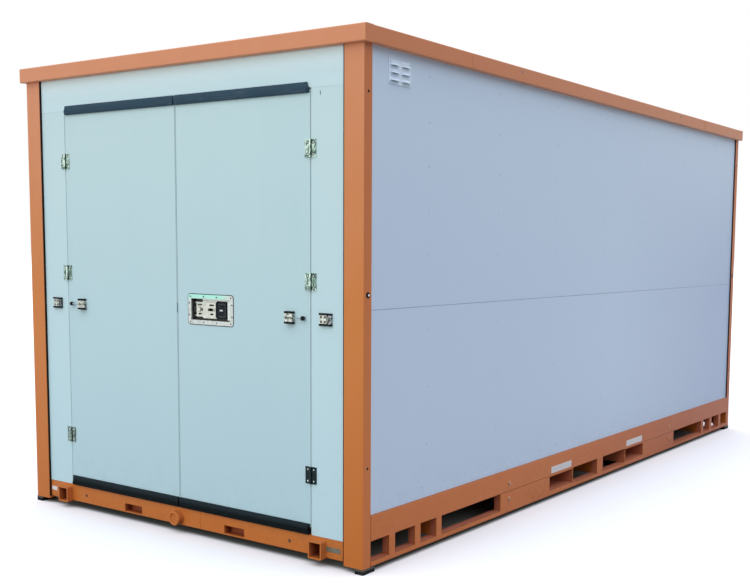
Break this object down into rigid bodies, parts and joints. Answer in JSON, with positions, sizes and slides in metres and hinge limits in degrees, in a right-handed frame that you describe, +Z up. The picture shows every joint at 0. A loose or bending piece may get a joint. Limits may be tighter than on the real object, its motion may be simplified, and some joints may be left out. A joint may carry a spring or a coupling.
{
  "type": "portable storage container",
  "caption": "Portable storage container with a painted steel frame, flush white wall panels, double front doors, fork pockets and lift tubes.",
  "frame": {"origin": "on the ground, under the middle of the container", "axes": "+X to the right seen from outside the doors, +Y from the doors to the rear wall, +Z up"},
  "size_m": [2.438, 4.877, 2.427],
  "materials": {
    "painted_frame": "satin paint",
    "wall_panel": "smooth painted",
    "vent_plastic": "moulded",
    "floor_board": "plywood",
    "rubber": "matt",
    "fitting_steel": "brushed",
    "black_plastic": "moulded"
  },
  "bodies": {
    "container": {"corner_post_front_left": "painted_frame", "corner_post_front_right": "painted_frame", "corner_post_rear_left": "painted_frame", "corner_post_rear_right": "painted_frame", "foot_plates": "painted_frame", "roof_rim_front": "painted_frame", "roof_rim_rear": "painted_frame", "roof_rim_left": "painted_frame", "roof_rim_right": "painted_frame", "roof_bows": "painted_frame", "side_beams": "painted_frame", "rail_flanges": "painted_frame", "rail_uprights": "painted_frame", "rail_plates": "painted_frame", "cross_members": "painted_frame", "fork_tubes": "painted_frame", "front_sill": "painted_frame", "rear_sill": "painted_frame", "lift_tubes": "painted_frame", "tow_boss": "painted_frame", "side_panel_left_lower": "wall_panel", "side_panel_left_upper": "wall_panel", "side_panel_right_lower": "wall_panel", "side_panel_right_upper": "wall_panel", "rear_panel_lower": "wall_panel", "rear_panel_upper": "wall_panel", "header_panel": "wall_panel", "jamb_left": "wall_panel", "jamb_right": "wall_panel", "roof_sheet": "wall_panel", "vents": "vent_plastic", "floor": "floor_board", "foot_pads": "rubber", "frame_hinge_leaves": "fitting_steel", "hold_back_catches": "fitting_steel"},
    "left_door": {"left_door": "wall_panel", "left_door_seals": "rubber", "left_door_hinges": "fitting_steel", "left_hold_back": "fitting_steel"},
    "left_plunger": {"left_plunger": "black_plastic"},
    "right_door": {"right_door": "wall_panel", "right_door_seals": "rubber", "right_door_hinges": "fitting_steel", "right_hold_back": "fitting_steel", "latch_tray": "fitting_steel"},
    "right_plunger": {"right_plunger": "black_plastic"},
    "latch": {"latch_slide": "fitting_steel", "latch_cover": "fitting_steel", "latch_grip": "black_plastic"}
  },
  "joints": [
    {"name": "left_door_hinge", "type": "hinge", "parent": "container", "child": "left_door", "pos_m": [-0.88, -2.4095, 1.2], "axis": [0, 0, -1], "range_deg": [0, 150]},
    {"name": "right_door_hinge", "type": "hinge", "parent": "container", "child": "right_door", "pos_m": [0.88, -2.4095, 1.2], "axis": [0, 0, 1], "range_deg": [0, 150]},
    {"name": "left_plunger_pull", "type": "slide", "parent": "left_door", "child": "left_plunger", "axis": [-1, 0, 0], "range_m": [0, 0.01]},
    {"name": "right_plunger_pull", "type": "slide", "parent": "right_door", "child": "right_plunger", "axis": [1, 0, 0], "range_m": [0, 0.01]},
    {"name": "latch_throw", "type": "slide", "parent": "right_door", "child": "latch", "axis": [-1, 0, 0], "range_m": [0, 0.018]}
  ]
}
